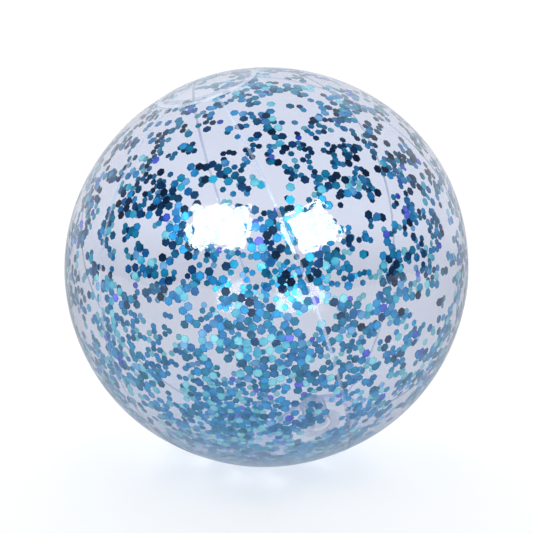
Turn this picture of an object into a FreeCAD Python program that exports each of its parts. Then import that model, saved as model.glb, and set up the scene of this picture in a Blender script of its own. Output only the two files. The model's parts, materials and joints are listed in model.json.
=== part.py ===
"""Inflatable beach ball of clear film, with loose confetti inside and a push-in valve.

Six film gores are welded edge to edge into an oval of revolution, slightly flattened at
its poles.  A round cap closes the gore tips at each pole, and the lower cap carries the
valve.  The ball lies as it rests on the ground: its polar axis leans over, and the film
is pressed flat where it stands.

Frame: millimetres, +Z up, the ground at z = 0, the origin straight below the ball's
centre.  Film pieces are drawn about the polar axis and valve pieces about the valve's own
axis, and one placement each then puts them where they belong.
"""
import FreeCAD, Part
import math
import os

import Sketcher
from FreeCAD import Placement, Rotation, Vector

os.makedirs("parts", exist_ok=True)
doc = FreeCAD.newDocument("beach_ball")

# ---------------------------------------------------------------- driving dimensions

SIZES = [
    ("equator_radius", 140.0, "outer radius of the film at the equator"),
    ("pole_height", 137.5, "from the centre to the film's outside at a pole"),
    ("shoulder", 42.0, "angle from a pole at which the flatter crown arc ends"),
    ("gores", 6, "film panels around the ball"),
    ("film", 0.3, "thickness of the film"),
    ("weld_width", 2.0, "width of the welded band along a seam, both gores together"),
    ("weld_rise", 0.2, "how far a welded band stands proud of the film"),
    ("weld_gap", 0.02, "gap left between two welded pieces"),
    ("cap_weld_width", 3.5, "width of the welded ring along a cap's rim"),
    ("cap_overlap", 9.0, "how far a cap reaches past the hole that the trimmed gore tips leave"),
    ("lean", 22.0, "angle between the polar axis and the vertical"),
    ("lean_azimuth", 219.0, "compass angle, from +X, that the upper pole leans towards"),
    ("first_seam", 4.5, "turn of the first seam about the polar axis"),
    ("contact_radius", 15.0, "radius of the patch pressed flat on the ground"),
    ("flange_width", 7.4, "radial width of the valve flange, from the mouth outwards"),
    ("flange_room", 8.0, "room between the flange and the trimmed gore tips"),
    ("flange_thickness", 1.0, "thickness of the valve flange"),
    ("skirt_wall", 0.6, "wall of the rolling skirt"),
    ("skirt_top", 0.3, "depth of the skirt's lip below the film"),
    ("pocket_room", 3.0, "radial room between the stem and the skirt around it"),
    ("stem_bore_radius", 4.3, "bore of the valve stem"),
    ("stem_wall", 1.7, "wall of the valve stem"),
    ("stem_length", 20.2, "length of the valve stem"),
    ("rim_lip", 0.9, "how far the rim around the stem's mouth stands out from the stem"),
    ("rim_height", 1.0, "height of that rim"),
    ("collar_room", 1.0, "room between the collar at the stem's inner end and the skirt's wall"),
    ("collar_height", 1.1, "height of that collar"),
    ("slide_gap", 0.05, "clearance of the plug in the stem and of the flap below it"),
    ("loose_gap", 0.1, "clearance of pieces that move past each other"),
    ("head_depth", 0.55, "depth of the plug's head below the film's outside, pushed in"),
    ("head_lip", 0.1, "how far the plug's head reaches past the stem's rim"),
    ("plug_head_height", 1.4, "height of the plug's head"),
    ("plug_length", 9.0, "length of the plug's shank"),
    ("plug_wall", 1.65, "wall of the plug's hollow shank"),
    ("plug_floor", 1.6, "material between that hollow and the underside of the head"),
    ("tab_width", 5.0, "width of the plug's finger tab"),
    ("tab_room", 0.4, "room between the finger tab's end and the skirt"),
    ("strap_thickness", 0.8, "thickness of the plug's strap"),
    ("strap_width", 4.0, "width of the plug's strap"),
    ("strap_depth", 6.0, "how far the strap's loop runs down beside the stem"),
    ("flap_overlap", 1.1, "how far the non-return flap covers the stem around the bore"),
    ("flap_thickness", 0.6, "thickness of the flap"),
    ("hinge_offset", 0.7, "distance of the flap's straight hinge edge from the bore"),
    ("flake_across", 5.0, "width of a confetti flake across its flats"),
    ("flake_thickness", 0.1, "thickness of a confetti flake"),
    ("flake_clearance", 0.15, "clearance between a flake and the film"),
    ("flakes", 300, "confetti flakes before those in the way are left out"),
]

sizes = doc.addObject("Spreadsheet::Sheet", "sizes")
for row, (alias, value, meaning) in enumerate(SIZES, start=1):
    sizes.set(f"A{row}", meaning)
    sizes.set(f"B{row}", str(value))
    sizes.setAlias(f"B{row}", alias)
doc.recompute()


def size(alias):
    """A driving dimension as a plain number."""
    return float(getattr(sizes, alias))


def bind(thing, **expressions):
    """Bind properties of a document object to the sheet; sheet names stand alone."""
    for name, expression in expressions.items():
        thing.setExpression(name, expression)
    return thing


# ---------------------------------------------------------------- where the ball lies

GORES = int(size("gores"))
GORE_ANGLE = 360.0 / GORES
REACH = 1.5 * size("equator_radius")

# The film's half section is a crown arc around each pole and a side arc between them, both
# tangent where they meet.  The distance between their centres follows from the two overall
# sizes and the angle at which they meet.
CROWN_END = math.radians(size("shoulder"))
CENTRES_APART = (size("equator_radius") - size("pole_height")) / (
    math.sin(CROWN_END) + math.cos(CROWN_END) - 1.0
)
CROWN_SHIFT = CENTRES_APART * math.cos(CROWN_END)
SIDE_SHIFT = CENTRES_APART * math.sin(CROWN_END)
CROWN_RADIUS = size("pole_height") + CROWN_SHIFT
SIDE_RADIUS = size("equator_radius") - SIDE_SHIFT
CROWN = (
    "sizes.pole_height + (sizes.equator_radius - sizes.pole_height) * cos(sizes.shoulder * 1 deg)"
    " / (sin(sizes.shoulder * 1 deg) + cos(sizes.shoulder * 1 deg) - 1)"
)

LEAN = Rotation(Vector(0, 0, 1), size("lean_azimuth")) * Rotation(Vector(0, 1, 0), size("lean"))
CENTRE_HEIGHT = (
    math.sqrt(CROWN_RADIUS ** 2 - size("contact_radius") ** 2)
    - CROWN_SHIFT * math.cos(math.radians(size("lean")))
)
POLAR = Placement(
    Vector(0, 0, CENTRE_HEIGHT),
    LEAN * Rotation(Vector(0, 0, 1), size("first_seam")),
)
VALVE = POLAR * Placement(Vector(0, 0, -size("pole_height")), Rotation())


def turned(placement, angle):
    """The same placement, turned about its own Z axis first."""
    return placement * Placement(Vector(0, 0, 0), Rotation(Vector(0, 0, 1), angle))


def raised(placement, height):
    """The same placement, moved along its own Z axis."""
    return placement * Placement(Vector(0, 0, height), Rotation())


# ---------------------------------------------------------------- helpers for features


def origin_plane(body, role):
    """One of a body's own origin planes."""
    return next(item for item in body.Origin.OriginFeatures if item.Role == role)


def new_body(name, placement):
    """A body placed in the ball."""
    body = doc.addObject("PartDesign::Body", name)
    body.Label = name
    body.Placement = placement
    return body


def new_sketch(body, name, role):
    """A sketch on one of the body's own origin planes."""
    sketch = body.newObject("Sketcher::SketchObject", name)
    sketch.AttachmentSupport = [(origin_plane(body, role), "")]
    sketch.MapMode = "FlatFace"
    return sketch


def outline(sketch, corners):
    """Draw a closed outline of straight lines through named corners.

    Each corner is (x, y, x expression, y expression); both coordinates are bound.
    """
    count = len(corners)
    points = [Vector(x, y, 0) for x, y, _, _ in corners]
    for index in range(count):
        sketch.addGeometry(Part.LineSegment(points[index], points[(index + 1) % count]), False)
    for index in range(count):
        sketch.addConstraint(Sketcher.Constraint("Coincident", index, 2, (index + 1) % count, 1))
    for index, (x, y, x_expression, y_expression) in enumerate(corners):
        for kind, value, expression in (
            ("DistanceX", x, x_expression),
            ("DistanceY", y, y_expression),
        ):
            number = sketch.addConstraint(Sketcher.Constraint(kind, -1, 1, index, 1, value))
            sketch.setExpression(f"Constraints[{number}]", expression)


def worked_out(expression):
    """The value of a sum of sheet cells, such as 'sizes.stem_wall + sizes.rim_lip'."""
    total = 0.0
    sign = 1.0
    for word in expression.split():
        if word in ("+", "-"):
            sign = 1.0 if word == "+" else -1.0
            continue
        total += sign * (size(word.removeprefix("sizes.")) if "." in word else float(word))
    return total


def corner(x_expression, y_expression):
    """A corner whose coordinates are sheet expressions."""
    return worked_out(x_expression), worked_out(y_expression), x_expression, y_expression


def revolve(body, name, sketch):
    """Turn a half section about the body's vertical axis."""
    feature = body.newObject("PartDesign::Revolution", name)
    feature.Profile = sketch
    feature.ReferenceAxis = (sketch, ["V_Axis"])
    feature.Angle = 360.0
    return feature


def joined(kind, name, shapes):
    """A boolean of two or more document objects."""
    result = doc.addObject(kind, name)
    if kind in ("Part::Cut", "Part::Common"):
        result.Base, result.Tool = shapes
    else:
        result.Shapes = shapes
    return result


def cylinder(name, radius, height, placement):
    """A cylinder whose radius and height are sheet expressions."""
    return bind(place(doc.addObject("Part::Cylinder", name), placement), Radius=radius, Height=height)


def box(name, placement, length, width, height):
    """A box whose sides are sheet expressions."""
    block = place(doc.addObject("Part::Box", name), placement)
    return bind(block, Length=length, Width=width, Height=height)


def place(thing, placement):
    """Give a primitive its placement."""
    thing.Placement = placement
    return thing


# ---------------------------------------------------------------- sizes that follow others

# The valve is sized from its bore outwards, the cap from the valve.
STEM_RADIUS = "sizes.stem_bore_radius + sizes.stem_wall"
RIM_RADIUS = STEM_RADIUS + " + sizes.rim_lip"
HEAD_RADIUS = RIM_RADIUS + " + sizes.head_lip"
SKIRT_IN = STEM_RADIUS + " + sizes.pocket_room"
SKIRT_OUT = SKIRT_IN + " + sizes.skirt_wall"
COLLAR_RADIUS = SKIRT_IN + " - sizes.collar_room"
TAB_REACH = SKIRT_IN + " - sizes.tab_room"
SHANK_RADIUS = "sizes.stem_bore_radius - sizes.slide_gap"
PLUG_CORE_RADIUS = SHANK_RADIUS + " - sizes.plug_wall"
FLAP_RADIUS = "sizes.stem_bore_radius + sizes.flap_overlap"
FLAP_HINGE = "sizes.stem_bore_radius + sizes.hinge_offset"
MOUTH_RADIUS = SKIRT_OUT + " + sizes.weld_gap"
FLANGE_RADIUS = MOUTH_RADIUS + " + sizes.flange_width"
TIP_HOLE_RADIUS = FLANGE_RADIUS + " + sizes.flange_room"
CAP_RADIUS = TIP_HOLE_RADIUS + " + sizes.cap_overlap"

# Depths below the film's outside at the pole, with the valve pushed in.
STEM_TOP = "sizes.head_depth + sizes.plug_head_height + sizes.slide_gap"
RIM_END = STEM_TOP + " + sizes.rim_height"
STEM_END = STEM_TOP + " + sizes.stem_length"
COLLAR_TOP = STEM_END + " - sizes.collar_height"
SKIRT_END = COLLAR_TOP + " - sizes.weld_gap"
SKIRT_FLOOR = SKIRT_END + " - sizes.skirt_wall"
HEAD_UNDER = "sizes.head_depth + sizes.plug_head_height"
SHANK_END = HEAD_UNDER + " + sizes.plug_length"
STRAP_ROOT = RIM_END + " + sizes.weld_gap"
STRAP_HEAD = HEAD_UNDER + " + sizes.weld_gap"

# ---------------------------------------------------------------- the ball's oval


def oval(name, growth, expression):
    """A solid oval of revolution: the film's outside, grown outwards by a sheet expression.

    Its half section is a flatter crown arc at each pole and a rounder side arc between
    them, all tangent.
    """
    body = new_body(name, POLAR)
    sketch = new_sketch(body, name + "_section", "XZ_Plane")
    crown = CROWN_RADIUS + growth
    side = SIDE_RADIUS + growth
    pole = size("pole_height") + growth
    equator = size("equator_radius") + growth
    up = Vector(0, 0, 1)
    right = math.pi / 2
    turn = right - CROWN_END
    top = Part.ArcOfCircle(Part.Circle(Vector(0, -CROWN_SHIFT, 0), up, crown), turn, right)
    flank = Part.ArcOfCircle(Part.Circle(Vector(SIDE_SHIFT, 0, 0), up, side), -turn, turn)
    base = Part.ArcOfCircle(Part.Circle(Vector(0, CROWN_SHIFT, 0), up, crown), -right, -turn)
    axis = Part.LineSegment(Vector(0, -pole, 0), Vector(0, pole, 0))
    sketch.addGeometry([top, flank, base, axis], False)
    sketch.addGeometry(Part.Point(Vector(equator, 0, 0)), True)
    for constraint in (
        ("Tangent", 0, 1, 1, 2),
        ("Tangent", 1, 1, 2, 2),
        ("Coincident", 0, 2, 3, 2),
        ("Coincident", 2, 1, 3, 1),
        ("PointOnObject", 3, 1, -2),
        ("PointOnObject", 3, 2, -2),
        ("PointOnObject", 0, 3, -2),
        ("PointOnObject", 2, 3, -2),
        ("PointOnObject", 1, 3, -1),
        ("PointOnObject", 4, 1, -1),
        ("PointOnObject", 4, 1, 1),
    ):
        sketch.addConstraint(Sketcher.Constraint(*constraint))
    for constraint, length in (
        (("Radius", 0, crown), CROWN),
        (("DistanceX", -1, 1, 4, 1, equator), "sizes.equator_radius"),
        (("DistanceY", -1, 1, 3, 2, pole), "sizes.pole_height"),
        (("DistanceY", 3, 1, -1, 1, pole), "sizes.pole_height"),
    ):
        number = sketch.addConstraint(Sketcher.Constraint(*constraint))
        sketch.setExpression(f"Constraints[{number}]", f"{length} + ({expression})")
    revolve(body, name + "_turned", sketch)
    return body


film_outside = oval("film_outside", 0.0, "0")
film_inside = oval("film_inside", -size("film"), "-sizes.film")
weld_outside = oval("weld_outside", size("weld_rise"), "sizes.weld_rise")
cap_inside = oval("cap_inside", size("weld_gap"), "sizes.weld_gap")
cap_outside = oval("cap_outside", size("weld_gap") + size("film"), "sizes.weld_gap + sizes.film")
cap_weld_outside = oval(
    "cap_weld_outside",
    size("weld_gap") + size("film") + size("weld_rise"),
    "sizes.weld_gap + sizes.film + sizes.weld_rise",
)
flange_inside = oval("flange_inside", -size("flange_thickness"), "-sizes.flange_thickness")

# ---------------------------------------------------------------- gores

# The ground flattens the film: outside it ends at the ground, inside one film higher.
room = "3 * sizes.equator_radius"
corner_of_room = Vector(-REACH, -REACH, 0)
above_ground = box("above_ground", Placement(corner_of_room, Rotation()), room, room, room)
above_film = box(
    "above_film",
    Placement(corner_of_room + Vector(0, 0, size("film")), Rotation()),
    room, room, room,
)
pressed_film = joined("Part::Common", "pressed_film", (film_outside, above_ground))
pressed_weld = joined("Part::Common", "pressed_weld", (weld_outside, above_ground))
pressed_inside = joined("Part::Common", "pressed_inside", (film_inside, above_film))
tip_holes = cylinder("tip_holes", TIP_HOLE_RADIUS, room, raised(POLAR, -REACH))
hollow = joined("Part::MultiFuse", "hollow", [pressed_inside, tip_holes])


def weld_lip(name, seam_angle, side):
    """Half of a seam's band: a slab beside the seam's plane, clear of both pole caps."""
    start = worked_out(CAP_RADIUS) + size("loose_gap")
    shift = Vector(start, 0.0 if side > 0 else -size("weld_width") / 2, -REACH)
    place_at = turned(POLAR, seam_angle) * Placement(shift, Rotation())
    return box(name, place_at, room, "sizes.weld_width / 2", room)


def gore(number):
    """One film panel from pole to pole, with half a welded band along each edge."""
    start = (number - 1) * GORE_ANGLE
    wedge = cylinder(f"wedge_{number}", room, room, raised(turned(POLAR, start), -REACH))
    wedge.setExpression("Angle", "360 deg / sizes.gores")
    panel = joined("Part::Common", f"panel_{number}", (pressed_film, wedge))
    lips = joined("Part::MultiFuse", f"lips_{number}", [
        weld_lip(f"near_lip_{number}", start, +1),
        weld_lip(f"far_lip_{number}", start + GORE_ANGLE, -1),
    ])
    bands = joined("Part::Common", f"bands_{number}", (pressed_weld, lips))
    blank = joined("Part::MultiFuse", f"blank_{number}", [panel, bands])
    return joined("Part::Cut", f"gore_{number}", (blank, hollow))


gores = [gore(number) for number in range(1, GORES + 1)]

# ---------------------------------------------------------------- pole caps and flange

half_room = "1.5 * sizes.equator_radius"


def cap_disc(name, radius, side):
    """A cylinder of the given radius over one pole only."""
    return cylinder(name, radius, half_room, raised(POLAR, 0.0 if side > 0 else -REACH))


def pole_cap(name, side):
    """The disc of film over the gore tips at one pole, with a welded ring at its rim."""
    whole = cap_disc(name + "_disc", CAP_RADIUS, side)
    middle = cap_disc(name + "_middle", CAP_RADIUS + " - sizes.cap_weld_width", side)
    ring = joined("Part::Cut", name + "_ring", (whole, middle))
    sheet = joined("Part::Common", name + "_sheet", (cap_outside, whole))
    band = joined("Part::Common", name + "_band", (cap_weld_outside, ring))
    blank = joined("Part::MultiFuse", name + "_blank", [sheet, band])
    pressed = joined("Part::Common", name + "_pressed", (blank, above_ground))
    return joined("Part::Cut", name, (pressed, cap_inside))


pole_cap_top = pole_cap("pole_cap_top", +1)
mouth = cap_disc("mouth", MOUTH_RADIUS, -1)
pole_cap_bottom = joined(
    "Part::Cut", "pole_cap_bottom", (pole_cap("closed_cap_bottom", -1), mouth)
)
flange_disc = joined(
    "Part::Common", "flange_disc",
    (film_outside, cap_disc("flange_edge", FLANGE_RADIUS, -1)),
)
flange_plate = joined("Part::Cut", "flange_plate", (flange_disc, flange_inside))
valve_flange = joined("Part::Cut", "valve_flange", (flange_plate, mouth))

# ---------------------------------------------------------------- valve

# Valve pieces are drawn about the valve's axis, with Z the depth inside the film at the
# pole.  The stem stands pushed in, as the ball is used.


def turned_piece(name, corners):
    """A body turned from one half section of straight lines."""
    body = new_body(name, VALVE)
    sketch = new_sketch(body, name + "_section", "XZ_Plane")
    outline(sketch, [corner(*pair) for pair in corners])
    revolve(body, name + "_turned", sketch)
    return body


valve_skirt = turned_piece("valve_skirt", [
    (SKIRT_IN, "sizes.skirt_top"),
    (SKIRT_OUT, "sizes.skirt_top"),
    (SKIRT_OUT, SKIRT_END),
    (STEM_RADIUS + " + sizes.loose_gap", SKIRT_END),
    (STEM_RADIUS + " + sizes.loose_gap", SKIRT_FLOOR),
    (SKIRT_IN, SKIRT_FLOOR),
])

valve_stem = turned_piece("valve_stem", [
    ("sizes.stem_bore_radius", STEM_TOP),
    (RIM_RADIUS, STEM_TOP),
    (RIM_RADIUS, RIM_END),
    (STEM_RADIUS, RIM_END),
    (STEM_RADIUS, COLLAR_TOP),
    (COLLAR_RADIUS, COLLAR_TOP),
    (COLLAR_RADIUS, STEM_END),
    ("sizes.stem_bore_radius", STEM_END),
])

valve_plug = turned_piece("valve_plug", [
    ("0", "sizes.head_depth"),
    (HEAD_RADIUS, "sizes.head_depth"),
    (HEAD_RADIUS, HEAD_UNDER),
    (SHANK_RADIUS, HEAD_UNDER),
    (SHANK_RADIUS, SHANK_END),
    (PLUG_CORE_RADIUS, SHANK_END),
    (PLUG_CORE_RADIUS, HEAD_UNDER + " + sizes.plug_floor"),
    ("0", HEAD_UNDER + " + sizes.plug_floor"),
])
plug_before_tab = valve_plug.Tip
tab_sketch = new_sketch(valve_plug, "tab_outline", "XY_Plane")
half_tab = size("tab_width") / 2
tab_end = worked_out(TAB_REACH)
outline(tab_sketch, [
    (0.0, -half_tab, "0", "-sizes.tab_width / 2"),
    (tab_end, -half_tab, TAB_REACH, "-sizes.tab_width / 2"),
    (tab_end, half_tab, TAB_REACH, "sizes.tab_width / 2"),
    (0.0, half_tab, "0", "sizes.tab_width / 2"),
])
tab_sketch.setExpression("AttachmentOffset.Base.z", "sizes.head_depth")
tab = valve_plug.newObject("PartDesign::Pad", "finger_tab")
tab.Profile = tab_sketch
bind(tab, Length="sizes.plug_head_height")


def strap_piece(name):
    """The plug's strap: a flat ribbon in a U, from the stem's side round to the tab."""
    body = new_body(name, VALVE)
    sketch = new_sketch(body, name + "_path", "XZ_Plane")
    near_side = STEM_RADIUS + " + sizes.weld_gap"
    far_side = TAB_REACH + " - sizes.weld_gap"
    near = worked_out(near_side)
    far = worked_out(far_side)
    root = worked_out(STRAP_ROOT)
    head = worked_out(STRAP_HEAD)
    bottom = root + size("strap_depth")
    thickness = size("strap_thickness")
    middle = (near + far) / 2
    outer = (far - near) / 2
    up = Vector(0, 0, 1)
    centre = Vector(middle, bottom, 0)
    sketch.addGeometry([
        Part.LineSegment(Vector(near, bottom, 0), Vector(near, root, 0)),
        Part.LineSegment(Vector(near, root, 0), Vector(near + thickness, root, 0)),
        Part.LineSegment(Vector(near + thickness, root, 0), Vector(near + thickness, bottom, 0)),
        Part.ArcOfCircle(Part.Circle(centre, up, outer - thickness), 0.0, math.pi),
        Part.LineSegment(Vector(far - thickness, bottom, 0), Vector(far - thickness, head, 0)),
        Part.LineSegment(Vector(far - thickness, head, 0), Vector(far, head, 0)),
        Part.LineSegment(Vector(far, head, 0), Vector(far, bottom, 0)),
        Part.ArcOfCircle(Part.Circle(centre, up, outer), 0.0, math.pi),
    ], False)
    for constraint in (
        ("Coincident", 0, 2, 1, 1), ("Coincident", 1, 2, 2, 1), ("Tangent", 2, 2, 3, 2),
        ("Tangent", 3, 1, 4, 1), ("Coincident", 4, 2, 5, 1), ("Coincident", 5, 2, 6, 1),
        ("Tangent", 6, 2, 7, 1), ("Coincident", 7, 2, 0, 1), ("Coincident", 3, 3, 7, 3),
        ("Vertical", 0), ("Vertical", 2), ("Vertical", 4), ("Vertical", 6),
        ("Horizontal", 1), ("Horizontal", 5),
    ):
        sketch.addConstraint(Sketcher.Constraint(*constraint))
    for constraint, expression in (
        (("DistanceX", -1, 1, 0, 2, near), near_side),
        (("DistanceX", -1, 1, 5, 2, far), far_side),
        (("DistanceY", -1, 1, 0, 2, root), STRAP_ROOT),
        (("DistanceY", -1, 1, 5, 2, head), STRAP_HEAD),
        (("DistanceX", 1, 1, 1, 2, thickness), "sizes.strap_thickness"),
        (("DistanceY", 0, 2, 0, 1, bottom - root), "sizes.strap_depth"),
    ):
        number = sketch.addConstraint(Sketcher.Constraint(*constraint))
        sketch.setExpression(f"Constraints[{number}]", expression)
    pad = body.newObject("PartDesign::Pad", name + "_ribbon")
    pad.Profile = sketch
    pad.SideType = "Symmetric"
    bind(pad, Length="sizes.strap_width")
    return body


plug_strap = strap_piece("plug_strap")

check_flap = new_body("check_flap", VALVE)
flap_sketch = new_sketch(check_flap, "flap_outline", "XY_Plane")
flap_radius = worked_out(FLAP_RADIUS)
flap_hinge = worked_out(FLAP_HINGE)
flap_angle = math.acos(-flap_hinge / flap_radius)
flap_round = Part.Circle(Vector(0, 0, 0), Vector(0, 0, 1), flap_radius)
flap_arc = Part.ArcOfCircle(flap_round, -flap_angle, flap_angle)
flap_sketch.addGeometry([flap_arc, Part.LineSegment(flap_arc.EndPoint, flap_arc.StartPoint)], False)
for constraint in (
    ("Coincident", 0, 3, -1, 1),
    ("Coincident", 0, 2, 1, 1),
    ("Coincident", 0, 1, 1, 2),
    ("Vertical", 1),
):
    flap_sketch.addConstraint(Sketcher.Constraint(*constraint))
for constraint, expression in (
    (("Radius", 0, flap_radius), FLAP_RADIUS),
    (("DistanceX", 1, 1, -1, 1, flap_hinge), FLAP_HINGE),
):
    number = flap_sketch.addConstraint(Sketcher.Constraint(*constraint))
    flap_sketch.setExpression(f"Constraints[{number}]", expression)
flap_sketch.setExpression("AttachmentOffset.Base.z", STEM_END + " + sizes.slide_gap")
flap_pad = check_flap.newObject("PartDesign::Pad", "flap_disc")
flap_pad.Profile = flap_sketch
bind(flap_pad, Length="sizes.flap_thickness")

# ---------------------------------------------------------------- confetti

GOLDEN_ANGLE = math.pi * (3.0 - math.sqrt(5.0))
FLAKE_INSET = size("film") + size("flake_clearance") + size("flake_thickness")


def wall_point(from_pole, around):
    """A point just inside the film, and the way out of the ball there, in the polar frame."""
    outward = Vector(
        math.sin(from_pole) * math.cos(around),
        math.sin(from_pole) * math.sin(around),
        math.cos(from_pole),
    )
    if abs(math.pi / 2 - from_pole) > math.pi / 2 - CROWN_END:
        side = 1.0 if outward.z > 0 else -1.0
        start = Vector(0, 0, -side * CROWN_SHIFT)
        return start + outward * (CROWN_RADIUS - FLAKE_INSET), outward
    start = Vector(math.cos(around), math.sin(around), 0) * SIDE_SHIFT
    return start + outward * (SIDE_RADIUS - FLAKE_INSET), outward


def is_free(point):
    """True where a flake clears the valve and the flat patch on the ground."""
    beside_valve = math.hypot(point.x, point.y) - worked_out(FLANGE_RADIUS)
    if point.z < 0 and beside_valve < size("flake_across"):
        return False
    return POLAR.multVec(point).z > size("film") + size("contact_radius") ** 2 / CROWN_RADIUS


TINTS = ("navy", "teal", "blue", "aqua", "violet", "silver")


def confetti():
    """Loose hexagonal flakes, spread evenly over the inside, one node for each tint."""
    groups = [[] for _ in TINTS]
    count = int(size("flakes"))
    for index in range(count):
        from_pole = math.acos(1.0 - (2.0 * index + 1.0) / count)
        around = (index * GOLDEN_ANGLE) % (2.0 * math.pi)
        point, outward = wall_point(from_pole, around)
        if not is_free(point):
            continue
        flake = doc.addObject("Part::Prism", f"flake_{index + 1}")
        flake.Polygon = 6
        bind(flake, Circumradius="sizes.flake_across / sqrt(3)", Height="sizes.flake_thickness")
        flake.Placement = POLAR * Placement(point, Rotation(Vector(0, 0, 1), outward))
        groups[index % len(TINTS)].append(flake)
    nodes = []
    for tint, flakes in zip(TINTS, groups):
        group = doc.addObject("Part::Compound", f"confetti_{tint}")
        group.Links = flakes
        nodes.append(group)
    return nodes


confetti_groups = confetti()
doc.recompute()

# ---------------------------------------------------------------- checks and files

NODES = gores + [
    pole_cap_top, pole_cap_bottom, valve_flange, valve_skirt, valve_stem,
    valve_plug, plug_strap, check_flap,
] + confetti_groups

for item in doc.Objects:
    if "Invalid" in item.State or "Error" in item.State:
        raise RuntimeError(f"{item.Name} did not build: {item.State}")
if tab.Shape.Volume <= plug_before_tab.Shape.Volume:
    raise RuntimeError("the finger tab added nothing")

film_area = 4.0 * math.pi * size("equator_radius") * size("pole_height") / GORES
for node in NODES:
    shape = node.Shape
    if shape.isNull() or not shape.isValid():
        raise RuntimeError(f"{node.Name} has no valid shape")
    if not node.Name.startswith("confetti") and len(shape.Solids) != 1:
        raise RuntimeError(f"{node.Name} is {len(shape.Solids)} solids, not one")
    if node in gores and not 0.8 < shape.Volume / (film_area * size("film")) < 1.2:
        raise RuntimeError(f"{node.Name} is not a film of the right thickness")
    node.Label = node.Name
    shape.exportStep(f"parts/{node.Label}.step")
    reach = shape.BoundBox
    print(f"{node.Label:16s} {len(shape.Solids):3d} solids {shape.Volume:10.2f} mm3  "
          f"z {reach.ZMin:8.3f} to {reach.ZMax:8.3f}")
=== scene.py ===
# %% [markdown]
# # A clear beach ball full of confetti
#
# The real thing is six thin film panels, called gores, welded edge to edge into a ball, with
# a round cap of film over each end and a push-in valve through the lower cap.  Thousands of
# loose foil hexagons cling to the inside of the film.
#
# Three ways of making it come to mind: one glass sphere with dots painted on, a simulation
# of film and flakes, or every piece built on its own.  The last is chosen, because the
# seams, the cap rings and the flakes are what the eye looks at, and each is a simple shape
# turned about an axis.

import json
import math
import random

import bmesh
import bpy
from mathutils import Matrix, Vector, noise

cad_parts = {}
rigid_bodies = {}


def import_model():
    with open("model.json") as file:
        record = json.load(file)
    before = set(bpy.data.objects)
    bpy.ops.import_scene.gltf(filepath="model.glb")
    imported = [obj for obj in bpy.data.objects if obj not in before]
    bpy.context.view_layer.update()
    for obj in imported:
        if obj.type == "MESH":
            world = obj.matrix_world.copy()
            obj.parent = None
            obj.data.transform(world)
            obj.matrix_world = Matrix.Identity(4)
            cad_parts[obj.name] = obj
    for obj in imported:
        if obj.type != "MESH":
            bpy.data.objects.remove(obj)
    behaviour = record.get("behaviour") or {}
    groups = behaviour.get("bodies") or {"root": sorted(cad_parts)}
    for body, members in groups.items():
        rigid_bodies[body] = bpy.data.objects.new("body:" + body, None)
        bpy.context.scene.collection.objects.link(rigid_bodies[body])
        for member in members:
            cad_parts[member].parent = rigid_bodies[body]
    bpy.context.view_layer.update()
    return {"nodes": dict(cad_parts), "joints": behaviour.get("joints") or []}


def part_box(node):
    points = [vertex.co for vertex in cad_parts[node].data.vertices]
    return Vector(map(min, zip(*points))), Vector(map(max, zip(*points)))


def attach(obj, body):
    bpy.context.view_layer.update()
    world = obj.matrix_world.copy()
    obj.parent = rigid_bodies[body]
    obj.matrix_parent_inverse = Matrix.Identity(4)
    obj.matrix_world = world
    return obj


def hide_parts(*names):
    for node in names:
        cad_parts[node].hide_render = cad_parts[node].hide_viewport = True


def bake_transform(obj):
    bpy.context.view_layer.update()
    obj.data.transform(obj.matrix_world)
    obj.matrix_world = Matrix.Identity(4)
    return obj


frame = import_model()

# %% [markdown]
# ## The ball's own axes
#
# The ball leans: its polar axis, through both caps, isn't upright.  It is easier to build
# every piece about that axis first and to put it in its place afterwards.  The joints say
# where the axis is.  The valve slides out along it, and the hinge of the valve's flap lies
# across it, so these two directions fix all three axes of the ball.

# %% Where the polar axis is
joints = {joint["name"]: joint for joint in frame["joints"]}
pole = -Vector(joints["valve_slide"]["axis"]).normalized()
across = -Vector(joints["flap_open"]["axis"]).normalized()
along = across.cross(pole)


def middle_of(node):
    """The middle of a CAD node's box."""
    low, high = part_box(node)
    return (low + high) / 2


centre = (middle_of("pole_cap_top") + middle_of("pole_cap_bottom")) / 2
to_place = Matrix.Translation(centre) @ Matrix((along, across, pole)).transposed().to_4x4()
print("centre of the ball:", [round(c, 5) for c in centre])

# %% [markdown]
# ## The ball's outline
#
# A welded ball isn't a true sphere.  It is a little flatter at its poles, and its half
# section is three arcs that run smoothly into each other: a flat one round each pole and a
# rounder one between them.  These are the sizes that the arcs come from.

# %% Sizes of the outline
MM = 0.001
EQUATOR_RADIUS = 140.0 * MM
POLE_HEIGHT = 137.5 * MM
CROWN_END = math.radians(42.0)

centres_apart = (EQUATOR_RADIUS - POLE_HEIGHT) / (math.sin(CROWN_END) + math.cos(CROWN_END) - 1)
crown_shift = centres_apart * math.cos(CROWN_END)
side_shift = centres_apart * math.sin(CROWN_END)
crown_radius = POLE_HEIGHT + crown_shift
side_radius = EQUATOR_RADIUS - side_shift
print("radii of the crown and side arcs:", round(crown_radius, 5), round(side_radius, 5))

# %% [markdown]
# ## How the film gives
#
# Blown-up film bulges a little between its seams, along each weld it puckers in small waves,
# because the heat shrinks the weld, and no film is quite even, so it swells here and sinks
# there.  All of it is under a millimetre.  One function gives that offset for any direction,
# so that the panels, the welds, the caps and the confetti behind them all move together.

# %% Bulges, puckers and swells
GORES = 6
GORE_ANGLE = 2.0 * math.pi / GORES
BULGE = 0.4 * MM
BULGE_LEVEL = 0.6
PUCKER = 0.05 * MM
PUCKER_LENGTH = 6.5 * MM
PUCKER_REACH = 5.0 * MM
PUCKER_WANDER = 2.5
WANDER_SCALE = 60.0
SEAMS_APART = 7.0
SWELL = 0.5 * MM
SWELL_SCALE = 2.2


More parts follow.
